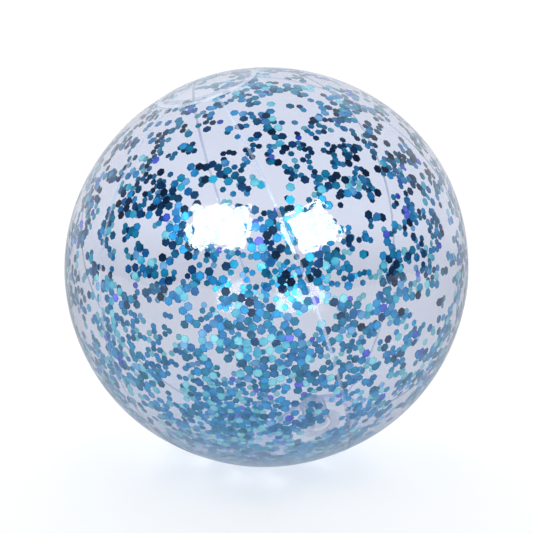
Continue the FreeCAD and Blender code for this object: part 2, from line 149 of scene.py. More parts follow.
def give(outward):
    """How far the film stands out of its plain outline in a direction about the ball's axes."""
    from_axis = math.hypot(outward.x, outward.y)
    around = math.atan2(outward.y, outward.x) % GORE_ANGLE
    bulge = BULGE * from_axis ** 2 * (math.sin(math.pi * around / GORE_ANGLE) - BULGE_LEVEL)
    to_seam = min(around, GORE_ANGLE - around) * from_axis * EQUATOR_RADIUS
    height = math.acos(max(-1.0, min(1.0, outward.z))) * EQUATOR_RADIUS
    seam_number = round(math.atan2(outward.y, outward.x) / GORE_ANGLE) % GORES
    phase = 2.0 * math.pi * height / PUCKER_LENGTH
    wander = noise.noise(Vector((seam_number * SEAMS_APART, height * WANDER_SCALE, 0.0)))
    wave = math.sin(phase + PUCKER_WANDER * wander)
    fade = math.exp(-(to_seam / PUCKER_REACH) ** 2)
    swell = SWELL * noise.noise(outward * SWELL_SCALE + Vector((3.1, 0.7, 5.2)))
    return bulge + PUCKER * wave * fade + swell * min(1.0, from_axis * 2.0)


print("the film gives", round(give(Vector((1, 0, 0))) / MM, 3), "mm at one seam's middle")

# %% [markdown]
# ## Lines for the film
#
# A panel or a cap starts as a single point.  It is spun through the arcs of the outline,
# which gives a line of points, and the line is then spun about the polar axis.  A seam is a
# short cross-section that is spun down the same arcs.  Spin keeps the steps even and takes
# no table of coordinates.

# %% Points and arcs of the outline
CROWN_ROWS = 34
SIDE_ROWS = 84


def crown_centre(side):
    """The middle of the crown arc at the upper (+1) or lower (-1) pole."""
    return Vector((0, 0, -side * crown_shift))


def crown_turn(radius):
    """The angle from the pole at which the crown arc is that far from the polar axis."""
    return math.asin(radius / crown_radius)


def crown_direction(turn):
    """The outward direction at an angle from the upper pole, above the X axis."""
    return Vector((math.sin(turn), 0, math.cos(turn)))


def arcs_down(turn, fineness=1):
    """The arcs from that angle at the upper pole down to the lower: centre, angle and steps."""
    return [
        (crown_centre(1), CROWN_END - turn, CROWN_ROWS * fineness),
        (Vector((side_shift, 0, 0)), math.pi - 2.0 * CROWN_END, SIDE_ROWS * fineness),
        (crown_centre(-1), CROWN_END - turn, CROWN_ROWS * fineness),
    ]


MERGE_DISTANCE = 1e-6


def spin_through(bm, geom, arcs):
    """Spin points and edges through one arc after another about the Y axis."""
    for arc_centre, angle, steps in arcs:
        geom = bmesh.ops.spin(
            bm, geom=geom, cent=arc_centre, axis=(0, 1, 0), angle=angle, steps=steps
        )["geom_last"]
    return geom


print("rows of film from pole to pole:", 2 * CROWN_ROWS + SIDE_ROWS)

# %% [markdown]
# ## From a bmesh to a piece
#
# A bmesh is only a workshop.  What is kept is a mesh on an object, with its materials in
# slots, and the object is told which body it rides on.

# %% Keeping a mesh
def kept_object(name, bm, materials):
    """Turn a finished bmesh into a smooth object in the scene."""
    mesh = bpy.data.meshes.new(name)
    bm.to_mesh(mesh)
    bm.free()
    for material in materials:
        mesh.materials.append(material)
    mesh.shade_smooth()
    kept = bpy.data.objects.new(name, mesh)
    bpy.context.scene.collection.objects.link(kept)
    return kept


def new_piece(name, bm, materials, body, replaced=()):
    """A kept object that rides on one body."""
    piece = kept_object(name, bm, materials)
    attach(piece, body)
    if replaced:
        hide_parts(*replaced)
    return piece


def thicken(piece, name, thickness, offset):
    """Give a sheet its thickness: -1 puts it all on the inside, 0 half on each side."""
    wall = piece.modifiers.new(name, "SOLIDIFY")
    wall.thickness = thickness
    wall.offset = offset
    return wall


# %% [markdown]
# ## Nodes for materials
#
# Every finish here is made of nodes, and the same few are needed again and again, so each
# gets a short function.  All patterns read Object coordinates, which stay with the piece
# when it moves.

# %% Small helpers for nodes
def new_material(name):
    """An empty node material: its nodes, its links and its output."""
    material = bpy.data.materials.new(name)
    material.use_nodes = True
    tree = material.node_tree
    tree.nodes.clear()
    return material, tree.nodes, tree.links, tree.nodes.new("ShaderNodeOutputMaterial")


def math_node(nodes, links, operation, first, second=0.0, third=0.0):
    """A Math node whose inputs are sockets or plain numbers."""
    node = nodes.new("ShaderNodeMath")
    node.operation = operation
    for socket, value in zip(node.inputs, (first, second, third)):
        if isinstance(value, bpy.types.NodeSocket):
            links.new(value, socket)
        else:
            socket.default_value = value
    return node.outputs[0]


def map_range(nodes, links, value, measured, wanted):
    """A Map Range node that takes one pair of numbers to another."""
    node = nodes.new("ShaderNodeMapRange")
    links.new(value, node.inputs["Value"])
    node.inputs["From Min"].default_value, node.inputs["From Max"].default_value = measured
    node.inputs["To Min"].default_value, node.inputs["To Max"].default_value = wanted
    return node


def own_coordinates(nodes):
    """The piece's Object coordinates."""
    return nodes.new("ShaderNodeTexCoord").outputs["Object"]


def noise_texture(nodes, links, scale, detail):
    """Noise on the piece's own coordinates."""
    texture = nodes.new("ShaderNodeTexNoise")
    texture.inputs["Scale"].default_value = scale
    texture.inputs["Detail"].default_value = detail
    links.new(own_coordinates(nodes), texture.inputs["Vector"])
    return texture.outputs["Fac"]


def glancing(nodes, links, power):
    """0 where a surface faces the eye, rising to 1 where it is seen edge on."""
    weight = nodes.new("ShaderNodeLayerWeight")
    weight.inputs["Blend"].default_value = 0.5
    return math_node(nodes, links, "POWER", weight.outputs["Facing"], power)


def mixed(nodes, links, factor, first, second):
    """Two shaders mixed by a factor, which gives the second one's share."""
    mix = nodes.new("ShaderNodeMixShader")
    for socket, value in zip(mix.inputs, (factor, first, second)):
        links.new(value, socket)
    return mix.outputs[0]


# %% [markdown]
# ## Clear film
#
# The film is soft clear vinyl.  Light goes nearly straight through so thin a sheet, so
# glass that bends light would only blur the view.  A see-through shader is mixed with a
# mirror-like one instead, and the more the film turns its edge to the eye, the more the
# mirror wins and the deeper the tint.  A trace of milky haze stands for static streaks, and
# it is thicker near the ground, where dust gathers.  A fine bump makes the reflections of
# the lights tremble as they do on thin film.

# %% Haze, gloss and mirror
STREAK_SCALE = 24.0
STREAK_LEVELS = (0.35, 0.75)
THINNEST_HAZE, THICKEST_HAZE = 0.5, 1.8
TINT_POWER, DUST_POWER, MIRROR_POWER = 3.0, 2.5, 3.2
DUST_TOP = 60.0 * MM
DUST_FACING = 0.9
RIPPLE_SCALE = 75.0
RIPPLE_STRENGTH = 0.45
RIPPLE_DEPTH = 1.2 * MM
INSIDE_LOSS = 0.75


def haze_share(nodes, links, haze, dusty):
    """How milky the film is: in streaks, and dusty from the ground up to DUST_TOP."""
    streaks = noise_texture(nodes, links, STREAK_SCALE, 3.0)
    levels = (haze * THINNEST_HAZE, haze * THICKEST_HAZE)
    cloud = map_range(nodes, links, streaks, STREAK_LEVELS, levels).outputs["Result"]
    if not dusty:
        return cloud
    height = nodes.new("ShaderNodeSeparateXYZ")
    links.new(own_coordinates(nodes), height.inputs[0])
    low = map_range(nodes, links, height.outputs["Z"], (0.0, DUST_TOP), (dusty, 0.0))
    slanting = math_node(nodes, links, "ADD", glancing(nodes, links, DUST_POWER), DUST_FACING)
    dust = math_node(nodes, links, "MULTIPLY", low.outputs["Result"], slanting)
    return math_node(nodes, links, "ADD", cloud, dust)


def mirror_share(nodes, links, straight, edge):
    """How mirror-like the film is: most when seen edge on, and less from its inner face."""
    edge_on = glancing(nodes, links, MIRROR_POWER)
    outer = math_node(nodes, links, "MULTIPLY_ADD", edge_on, edge - straight, straight)
    inner_face = nodes.new("ShaderNodeNewGeometry").outputs["Backfacing"]
    kept_share = math_node(nodes, links, "MULTIPLY_ADD", inner_face, -INSIDE_LOSS, 1.0)
    return math_node(nodes, links, "MULTIPLY", outer, kept_share)


def rippled_gloss(nodes, links, roughness):
    """A mirror-like shader on which reflections tremble."""
    gloss = nodes.new("ShaderNodeBsdfGlossy")
    gloss.inputs["Roughness"].default_value = roughness
    ripple = nodes.new("ShaderNodeBump")
    ripple.inputs["Strength"].default_value = RIPPLE_STRENGTH
    ripple.inputs["Distance"].default_value = RIPPLE_DEPTH
    links.new(noise_texture(nodes, links, RIPPLE_SCALE, 2.5), ripple.inputs["Height"])
    links.new(ripple.outputs["Normal"], gloss.inputs["Normal"])
    return gloss.outputs[0]


# %% Four kinds of film
PALE = (0.80, 0.86, 0.96)
DUST = (0.50, 0.66, 0.87)


def clear_film(
    name, tint, edge_tint, haze, haze_colour, straight=0.03, edge=0.55, roughness=0.05, dusty=0.0
):
    """Clear soft vinyl: see-through, faintly hazy, glossy, and deeper in colour edge on."""
    material, nodes, links, output = new_material(name)
    depth = nodes.new("ShaderNodeMix")
    depth.data_type = "RGBA"
    depth.inputs["A"].default_value = (*tint, 1)
    depth.inputs["B"].default_value = (*edge_tint, 1)
    links.new(glancing(nodes, links, TINT_POWER), depth.inputs["Factor"])
    clear = nodes.new("ShaderNodeBsdfTransparent")
    links.new(depth.outputs["Result"], clear.inputs["Color"])
    milk = nodes.new("ShaderNodeBsdfDiffuse")
    milk.inputs["Color"].default_value = (*haze_colour, 1)
    veil = haze_share(nodes, links, haze, dusty)
    body = mixed(nodes, links, veil, clear.outputs[0], milk.outputs[0])
    mirror = mirror_share(nodes, links, straight, edge)
    gloss = rippled_gloss(nodes, links, roughness)
    links.new(mixed(nodes, links, mirror, body, gloss), output.inputs["Surface"])
    return material


film = clear_film(
    "clear_film", (0.857, 0.887, 0.966), (0.82, 0.82, 0.92), 0.003, DUST,
    straight=0.075, edge=0.72, roughness=0.065, dusty=0.28,
)
film_inside = clear_film(
    "clear_film_inside", (0.99, 0.99, 0.995), (0.97, 0.98, 0.99), 0.002, PALE,
    straight=0.018, edge=0.30, roughness=0.09,
)
weld_film = clear_film(
    "welded_film", (0.89, 0.905, 0.94), (0.78, 0.81, 0.87), 0.15, PALE,
    straight=0.004, edge=0.25, roughness=0.35,
)
soft_vinyl = clear_film(
    "soft_vinyl", (0.975, 0.978, 0.986), (0.72, 0.75, 0.83), 0.08, (0.80, 0.83, 0.90),
    straight=0.03, roughness=0.18,
)
print("films:", ", ".join(m.name for m in (film, film_inside, weld_film, soft_vinyl)))

# %% [markdown]
# ## The gores
#
# Each gore is a long leaf of film from cap to cap.  One line through the three arcs, spun
# through a sixth of a turn, makes a whole leaf with even squares.  Every point is then moved
# by what the film gives, and a Solidify modifier adds the film's thickness on the inside.
# The thin rim that it leaves would pull the smooth shading askew near the edges and draw a
# bright streak there, so a Weighted Normal modifier shades by the wide faces alone.  The
# inner wall has a finish of its own, which is fainter and mirrors less: light meets two
# walls in one film, and the tint should count once.

# %% Finishing a piece of film
FILM = 0.3 * MM
WIDE_FACES_ONLY = 100


def film_offset(bm, growth=0.0):
    """Move points out by what the film gives there, plus a growth."""
    for vert in bm.verts:
        middle = crown_centre(1 if vert.co.z > 0 else -1)
        outward = (vert.co - middle).normalized()
        if abs(outward.z) < math.cos(CROWN_END):
            level = Vector((vert.co.x, vert.co.y, 0)).normalized()
            outward = (vert.co - level * side_shift).normalized()
        vert.co += outward * (give(outward) + growth)


def finish_film(name, bm, materials, replaced=()):
    """Place, flatten, thicken and keep one film piece."""
    bmesh.ops.transform(bm, matrix=to_place, verts=bm.verts)
    for vert in bm.verts:
        vert.co.z = max(vert.co.z, 0.0)
    bmesh.ops.recalc_face_normals(bm, faces=bm.faces)
    outward_sum = sum((f.normal.dot(f.calc_center_median() - centre) for f in bm.faces), 0.0)
    if outward_sum < 0:
        bmesh.ops.reverse_faces(bm, faces=bm.faces)
    piece = new_piece(name, bm, materials, "ball", replaced)
    thicken(piece, "film_thickness", FILM, -1.0)
    shading = piece.modifiers.new("shading_from_the_wide_faces", "WEIGHTED_NORMAL")
    shading.weight = WIDE_FACES_ONLY
    return piece


def seam_turn(number):
    """The turn about the polar axis that takes the X axis to the seam before that gore."""
    return Matrix.Rotation((number - 1) * GORE_ANGLE, 3, "Z")


# %% Six panels of film
TIP_HOLE = 25.0 * MM
GORE_COLUMNS = 44

for number in range(1, GORES + 1):
    bm = bmesh.new()
    turn = crown_turn(TIP_HOLE)
    start = bm.verts.new(crown_centre(1) + crown_direction(turn) * crown_radius)
    spin_through(bm, [start], arcs_down(turn))
    bmesh.ops.rotate(bm, verts=bm.verts, cent=(0, 0, 0), matrix=seam_turn(number))
    bmesh.ops.spin(
        bm, geom=bm.verts[:] + bm.edges[:], cent=(0, 0, 0), axis=(0, 0, 1),
        angle=GORE_ANGLE, steps=GORE_COLUMNS,
    )
    bmesh.ops.remove_doubles(bm, verts=bm.verts, dist=MERGE_DISTANCE)
    film_offset(bm)
    panel = finish_film(f"film_gore_{number}", bm, [film, film_inside], [f"gore_{number}"])
    panel.modifiers["film_thickness"].material_offset = 1
    panel.modifiers["film_thickness"].material_offset_rim = 1
print("gores:", GORES, "each with", len(panel.data.polygons), "squares")

# %% [markdown]
# ## The welded seams
#
# Along each seam the two gores are pressed together between hot bars, which leaves a flat
# band with a raised bead along each side.  The band's cross-section is a short line with two
# bumps, and spinning it down the three arcs lays it along the seam at a constant width.

# %% Six seam bands
CAP_RADIUS = 34.0 * MM
WELD_WIDTH = 2.0 * MM
WELD_RISE = 0.09 * MM
BEAD = 0.35 * MM
BAND_LIFT = 0.02 * MM
THIN_EDGE, VALLEY, BAND_MIDDLE = 0.05, 0.15, 0.1


def seam_section(bm, turn):
    """The band's cross-section, lying along Y at the upper end of a seam."""
    half = WELD_WIDTH / 2
    outward = crown_direction(turn)
    start = crown_centre(1) + outward * crown_radius
    heights = (
        (-half, THIN_EDGE), (-half + BEAD / 2, 1.0), (-half + BEAD, VALLEY),
        (0.0, BAND_MIDDLE),
        (half - BEAD, VALLEY), (half - BEAD / 2, 1.0), (half, THIN_EDGE),
    )
    verts = [
        bm.verts.new(start + Vector((0, side, 0)) + outward * (WELD_RISE * rise))
        for side, rise in heights
    ]
    return verts + [bm.edges.new(pair) for pair in zip(verts, verts[1:])]


for number in range(1, GORES + 1):
    bm = bmesh.new()
    turn = crown_turn(CAP_RADIUS)
    spin_through(bm, seam_section(bm, turn), arcs_down(turn, fineness=2))
    bmesh.ops.rotate(bm, verts=bm.verts, cent=(0, 0, 0), matrix=seam_turn(number))
    film_offset(bm, BAND_LIFT)
    finish_film(f"seam_weld_{number}", bm, [weld_film])
print("seam bands:", GORES)

# %% [markdown]
# ## The pole caps
#
# A round patch of film covers the gore tips at each end, welded on by a ring that shows as
# two fine circles.  Where two films lie on each other they look cloudier.  A line from the
# axis to the rim, spun a full turn, makes the patch.  The rows under the ring are close
# together, so that the two beads can be raised on them.

# %% The welded ring
CAP_RING = 3.5 * MM
RING_BEAD_IN = 0.4 * MM
RING_BEAD_WIDTH = 0.28 * MM
cap_film = clear_film("cap_film", (0.93, 0.94, 0.965), (0.86, 0.88, 0.93), 0.09, PALE)
ring_film = clear_film("cap_ring_film", (0.88, 0.885, 0.92), (0.80, 0.82, 0.88), 0.34, PALE)


def ring_rise(from_axis):
    """The height of the welded ring's two beads at a distance from the axis."""
    rise = 0.0
    for bead in (CAP_RADIUS - RING_BEAD_IN, CAP_RADIUS - CAP_RING + RING_BEAD_IN):
        rise += WELD_RISE * math.exp(-((from_axis - bead) / RING_BEAD_WIDTH) ** 2)
    return rise


# %% Two caps
CAP_COLUMNS = 96
CAP_ROWS = 22
RING_ROWS = 26
RING_MARGIN = 0.5 * MM
CAP_GAP = 0.05 * MM
CREASE = 0.10 * MM
CREASE_SCALE = 90
CREASE_FADE = 12 * MM
MOUTH_RADIUS = 9.62 * MM
NO_HOLE = 0.001 * MM


def lift_cap(bm, side):
    """Raise a cap off the gore tips, with its ring and its faint creases."""
    for vert in bm.verts:
        outward = (vert.co - crown_centre(1)).normalized()
        from_axis = math.hypot(vert.co.x, vert.co.y)
        spot = Vector((vert.co.x * CREASE_SCALE, vert.co.y * CREASE_SCALE, side * 3.0))
        crease = CREASE * noise.noise(spot) * min(1.0, from_axis / CREASE_FADE)
        vert.co += outward * (FILM + CAP_GAP + ring_rise(from_axis) + crease)


def pole_cap(name, side, hole, replaced):
    """A patch of film over one pole, with a hole where the valve goes through."""
    bm = bmesh.new()
    inner = crown_turn(hole)
    ring_start = crown_turn(CAP_RADIUS - CAP_RING - RING_MARGIN)
    outer = crown_turn(CAP_RADIUS)
    start = bm.verts.new(crown_centre(1) + crown_direction(inner) * crown_radius)
    spin_through(bm, [start], [
        (crown_centre(1), ring_start - inner, CAP_ROWS),
        (crown_centre(1), outer - ring_start, RING_ROWS),
    ])
    bmesh.ops.spin(
        bm, geom=bm.verts[:] + bm.edges[:], cent=(0, 0, 0), axis=(0, 0, 1),
        angle=2.0 * math.pi, steps=CAP_COLUMNS, use_merge=True,
    )
    bmesh.ops.remove_doubles(bm, verts=bm.verts, dist=MERGE_DISTANCE)
    for face in bm.faces:
        middle = face.calc_center_median()
        face.material_index = int(math.hypot(middle.x, middle.y) > CAP_RADIUS - CAP_RING)
    lift_cap(bm, side)
    if side < 0:
        upside_down = Matrix.Rotation(math.pi, 3, "X")
        bmesh.ops.rotate(bm, verts=bm.verts, cent=(0, 0, 0), matrix=upside_down)
    for vert in bm.verts:
        outward = (vert.co - crown_centre(side)).normalized()
        vert.co += outward * give(outward)
    return finish_film(name, bm, [cap_film, ring_film], replaced)


for name, side, hole in (("top", +1, NO_HOLE), ("bottom", -1, MOUTH_RADIUS)):
    cap = pole_cap(f"film_cap_{name}", side, hole, [f"pole_cap_{name}"])
    print(cap.name, "has", len(cap.data.polygons), "faces")

# %% [markdown]
# ## Foil for the confetti
#
# Every flake is punched from the same blue metallised film with a fine emboss, and it looks
# dark navy, teal, blue, violet, aqua or silvery white by the part of the room that it reflects
# and by how it splits the light.  Six tints stand for that, so the tints are painted
# reflections and painted glints on one foil.  Within one tint no two flakes look the same,
# because each catches another part of the room, so every face of a flake carries a number of
# its own, called glint, a painted reflection that shifts its colour from dark to bright.  A
# slow drift of noise is added to it, so that one flake isn't all one colour.

# %% Six painted tints of one foil
FOIL_TINTS_AND_REFLECTIONS = {
    "navy": ((0.001, 0.012, 0.040), (0.004, 0.085, 0.260)),
    "teal": ((0.003, 0.065, 0.150), (0.010, 0.390, 0.600)),
    "blue": ((0.006, 0.120, 0.320), (0.040, 0.490, 0.860)),
    "aqua": ((0.030, 0.440, 0.600), (0.450, 1.000, 0.950)),
    "violet": ((0.020, 0.060, 0.540), (0.260, 0.280, 1.000)),
    "silver": ((0.035, 0.230, 0.460), (0.330, 0.700, 1.000)),
}
DRIFT_SCALE = 190.0
DRIFT = 0.9
EMBOSS_SCALE = 700.0
EMBOSS_DEPTH = 0.2 * MM


def foil(tint, dark, bright):
    """Metallised film whose colour follows the glint of each face, a painted reflection."""
    material, nodes, links, output = new_material(f"foil_{tint}")
    glint = nodes.new("ShaderNodeAttribute")
    glint.attribute_name = "glint"
    drift = noise_texture(nodes, links, DRIFT_SCALE, 1.0)
    centred = math_node(nodes, links, "MULTIPLY_ADD", drift, DRIFT, -DRIFT / 2)
    painted_shading = math_node(nodes, links, "ADD", glint.outputs["Fac"], centred)
    # Painted reflection: the ramp runs from the dark room's image to a bright glint.
    ramp = nodes.new("ShaderNodeValToRGB")
    ramp.color_ramp.elements[0].color = (*dark, 1)
    ramp.color_ramp.elements[1].color = (*bright, 1)
    links.new(painted_shading, ramp.inputs["Fac"])
    surface = nodes.new("ShaderNodeBsdfPrincipled")
    surface.inputs["Metallic"].default_value = 0.38
    surface.inputs["Roughness"].default_value = 0.24
    surface.inputs["Specular IOR Level"].default_value = 0.45
    surface.inputs["Specular Tint"].default_value = (0.45, 1.0, 0.95, 1)
    emboss = nodes.new("ShaderNodeBump")
    emboss.inputs["Strength"].default_value = 0.25
    emboss.inputs["Distance"].default_value = EMBOSS_DEPTH
    links.new(noise_texture(nodes, links, EMBOSS_SCALE, 1.0), emboss.inputs["Height"])
    links.new(emboss.outputs["Normal"], surface.inputs["Normal"])
    links.new(ramp.outputs["Color"], surface.inputs["Base Color"])
    links.new(surface.outputs[0], output.inputs["Surface"])
    return material


foils = {tint: foil(tint, dark, bright) for tint, (dark, bright) in FOIL_TINTS_AND_REFLECTIONS.items()}
print("foils:", ", ".join(foils))

# %% [markdown]
# ## Where the flakes lie
#
# Static holds the flakes flat on the film, in little chains and clumps with gaps between
# them, and more of them slide down to the bottom.  A simulation would need hours to shake
# them into place.  Growing the clumps gives the same look: a new flake usually takes a place
# beside one that is already there, and sometimes it starts a new clump elsewhere.  A coarse
# grid finds the flakes nearby, so that a new one keeps its distance without looking through
# thousands.  Places are directions from the ball's centre, and all the dice come from one
# seed, so that every run gives the same ball.

# %% Where a flake is welcome
SEED = 41
dice = random.Random(SEED)
CLEAR_GAP = Vector((0.267, -0.720, -0.641)).normalized()
CLEAR_GAP_TURN = math.radians(7.0)
SPARSE = 0.12
PATCH_MEAN, PATCH_SWING, PATCH_SCALE = 0.74, 0.50, 9.0
LEVEL_WELCOME, LESS_UPWARDS, MORE_ON_TOP, ON_TOP = 0.80, 0.12, 0.20, 0.7
HEAP, HEAP_FROM, HEAP_SPAN = 1.5, 0.78, 0.22
POCKET_TURN, POCKET_RIM_TURN = 6.2, 9.5
POCKET_RIM_EMPTY = 0.65


def random_direction():
    """An even choice among all directions."""
    height = dice.uniform(-1.0, 1.0)
    turn = dice.uniform(0.0, 2.0 * math.pi)
    level = math.sqrt(1.0 - height * height)
    return Vector((level * math.cos(turn), level * math.sin(turn), height))


def crowding(direction):
    """How welcome a flake is: patchy all over, high near the ground, low in one clear gap."""
    if direction.angle(CLEAR_GAP) < CLEAR_GAP_TURN:
        return SPARSE
    patch = noise.noise(direction * PATCH_SCALE + Vector((1.7, 9.2, 4.4)))
    patches = PATCH_MEAN + PATCH_SWING * patch
    by_height = LEVEL_WELCOME - LESS_UPWARDS * direction.z
    by_height += MORE_ON_TOP * max(0.0, direction.z - ON_TOP)
    heap = max(0.0, (-direction.z - HEAP_FROM) / HEAP_SPAN)
    return max(SPARSE, min(1.0, patches)) * by_height + HEAP * heap


def near_valve(direction):
    """True where the valve's pocket leaves no room for a flake, and for most just around it."""
    turn = math.degrees(direction.angle(-pole))
    return turn < POCKET_TURN or (turn < POCKET_RIM_TURN and dice.random() < POCKET_RIM_EMPTY)


print("a flake's welcome at the side:", round(crowding(Vector((1, 0, 0))), 2))

# %% A grid that finds neighbours
FAR_AWAY = 9.0


class Neighbours:
    """Finds flakes that lie near a direction, in a coarse grid of cubes."""

    def __init__(self, cell):
        self.cell = cell
        self.cubes = {}

    def key(self, point):
        return tuple(int(math.floor(c / self.cell)) for c in point)

    def add(self, point):
        self.cubes.setdefault(self.key(point), []).append(point)

    def nearest(self, point):
        x, y, z = self.key(point)
        best = FAR_AWAY
        for i in (-1, 0, 1):
            for j in (-1, 0, 1):
                for k in (-1, 0, 1):
                    for other in self.cubes.get((x + i, y + j, z + k), ()):
                        best = min(best, (other - point).length)
        return best


# %% Growing the clumps
FLAKES = 4000
FLAKE_ACROSS = 5.0 * MM
ANGLE_ACROSS = FLAKE_ACROSS / EQUATOR_RADIUS
CLUMP_CHANCE = 0.80
CHAIN_CHANCE = 0.25
NEXT_FLAKE = (0.78, 1.20)
CLOSEST = 0.78
PILE_CLOSER, PILE_FROM, PILE_SPAN = 0.42, 0.82, 0.18
TRIES_EACH = 60

neighbours = Neighbours(ANGLE_ACROSS * NEXT_FLAKE[1])
places = []
tries = 0
while len(places) < FLAKES and tries < FLAKES * TRIES_EACH:
    tries += 1
    if places and dice.random() < CLUMP_CHANCE:
        parent = places[-1] if dice.random() < CHAIN_CHANCE else dice.choice(places)
        step = random_direction()
        side = (step - parent * step.dot(parent)).normalized()
        direction = (parent + side * ANGLE_ACROSS * dice.uniform(*NEXT_FLAKE)).normalized()
    else:
        direction = random_direction()
    if near_valve(direction) or dice.random() > crowding(direction):
        continue
    pile = min(1.0, max(0.0, (-direction.z - PILE_FROM) / PILE_SPAN))
    if neighbours.nearest(direction) < ANGLE_ACROSS * (CLOSEST - PILE_CLOSER * pile):
        continue
    neighbours.add(direction)
    places.append(direction)
print("flakes placed:", len(places), "after", tries, "tries")

# %% [markdown]
# ## Laying and tinting the flakes
#
# A flake lies just inside the film, nearly flat on it, though a few stand off at an angle.
# Its tint is drawn by chance, and the tints are painted reflections.  The darkest, a painted
# shade, is commoner higher up, where flakes face away from the light, in patches of its own,
# where neighbours reflect the same dark part of the room, and it is rare near the ground and at
# the very top.  The glint follows the same rule as painted light: brighter low down and at the
# very top.

# %% The place of one flake
FLAT_SHARE = 0.85
FLAT_TILT = 1.8
STANDING_TILTS = (4.0, 16.0)
FILM_GAP = 0.12 * MM
LAYER = 0.1 * MM
LAYERS = 3
GROUND_GAP = 0.15 * MM
CORNER_SHARE = 0.58
GROUND_SHARE, GROUND_SLOPE = 0.6, 0.05
from_place = to_place.inverted()


def wall_point(outward):
    """The point of the film's outside whose outward direction is given, about the ball's axes."""
    if abs(outward.z) > math.cos(CROWN_END):
        return crown_centre(1 if outward.z > 0 else -1) + outward * crown_radius
    level = Vector((outward.x, outward.y, 0)).normalized()
    return level * side_shift + outward * side_radius


def flake_matrix(direction):
    """The place of one flake, just inside the film, a little tilted."""
    outward = (from_place.to_3x3() @ direction).normalized()
    flat = dice.random() < FLAT_SHARE
    tilt = math.radians(abs(dice.gauss(0.0, FLAT_TILT)) if flat else dice.uniform(*STANDING_TILTS))
    layer = LAYER * dice.randrange(LAYERS)
    depth = FILM + FILM_GAP + FLAKE_ACROSS * CORNER_SHARE * math.sin(tilt) + layer
    point = to_place @ (wall_point(outward) + outward * (give(outward) - depth))
    lowest = FILM + GROUND_GAP + FLAKE_ACROSS * GROUND_SHARE * math.sin(tilt + GROUND_SLOPE)
    point.z = max(point.z, lowest)
    facing = direction.to_track_quat("Z", "Y").to_matrix().to_4x4()
    lean_axis = Vector((
        math.cos(dice.uniform(0, math.tau)), math.sin(dice.uniform(0, math.tau)), 0
    ))
    leaning = Matrix.Rotation(tilt, 4, lean_axis)
    turned = Matrix.Rotation(dice.uniform(0.0, math.tau), 4, "Z")
    return Matrix.Translation(point) @ facing @ leaning @ turned


# %% The tint and the glint of one flake
SHARES = {"navy": 23, "teal": 28, "blue": 27, "aqua": 12, "violet": 3, "silver": 7}
TOP_FROM = 0.6
DARK_PATCH_SCALE = 6.0
NAVY_LEVEL, NAVY_UPWARDS, NAVY_ON_TOP, NAVY_LEAST = 0.45, 1.7, 7.0, 0.01
NAVY_PATCHES, AQUA_PATCHES = 4.0, 2.5
AQUA_DOWNWARDS, BLUE_DOWNWARDS = 0.4, 0.5
GLINT_SPREAD, GLINT_LEAST, GLINT_DOWNWARDS, GLINT_ON_TOP = 1.1, 0.06, 0.38, 1.5


def facing_up(direction):
    """How far a place is up towards the very top: 0 below it, then rising."""
    return max(0.0, direction.z - TOP_FROM)


def draw_tint(direction):
    """A tint by chance, with the shares shifted by height and in dark patches, as painted shade.
    """
    weights = dict(SHARES)
    painted_dark_patch = noise.noise(direction * DARK_PATCH_SCALE + Vector((8.1, 2.2, 6.5)))
    # Painted shade: more of the darkest tint higher up, less at the very top.
    by_height = NAVY_LEVEL + NAVY_UPWARDS * direction.z - NAVY_ON_TOP * facing_up(direction)
    weights["navy"] *= max(NAVY_LEAST, by_height)
    weights["navy"] *= 1.0 + NAVY_PATCHES * max(0.0, painted_dark_patch)
    lower, brighter = 1.0 - AQUA_DOWNWARDS * direction.z, max(0.0, -painted_dark_patch)
    weights["aqua"] *= lower * (1.0 + AQUA_PATCHES * brighter)
    weights["blue"] *= 1.0 - BLUE_DOWNWARDS * direction.z
    return dice.choices(list(weights), list(weights.values()))[0]


def draw_glint(direction):
    """A painted brightness by chance, between 0 and 1, that falls with height and rises at the
    top.
    """
    # Painted light: brighter low down and at the very top.
    glint = dice.random() ** GLINT_SPREAD + GLINT_LEAST - GLINT_DOWNWARDS * direction.z
    return min(1.0, max(0.0, glint + GLINT_ON_TOP * facing_up(direction)))


# %% [markdown]
# ## Cutting out the flakes
#
# A flake is a hexagon with a thickness of a tenth of a millimetre, which the cone operator
# makes directly when both its radii are equal.  The side that faces the film gets a little
# less glint than the side that faces inwards, a painted shade that makes the near wall's flakes
# darker than the far wall's.  A narrow border is inset on both faces and made darker, a painted
# shade for the cut edge, which bends a little.

# %% Flakes of six tints
FLAKE_THICKNESS = 0.1 * MM
FLAKE_RADIUS = FLAKE_ACROSS / math.sqrt(3)
FLAKE_BORDER = 0.5 * MM
FACES_FILM = 0.3
FILM_SIDE = 0.8
INNER_SIDE_LEAST = 0.25
BORDER_SHARE, BORDER_PAINTED_SHADE = 0.55, 0.10

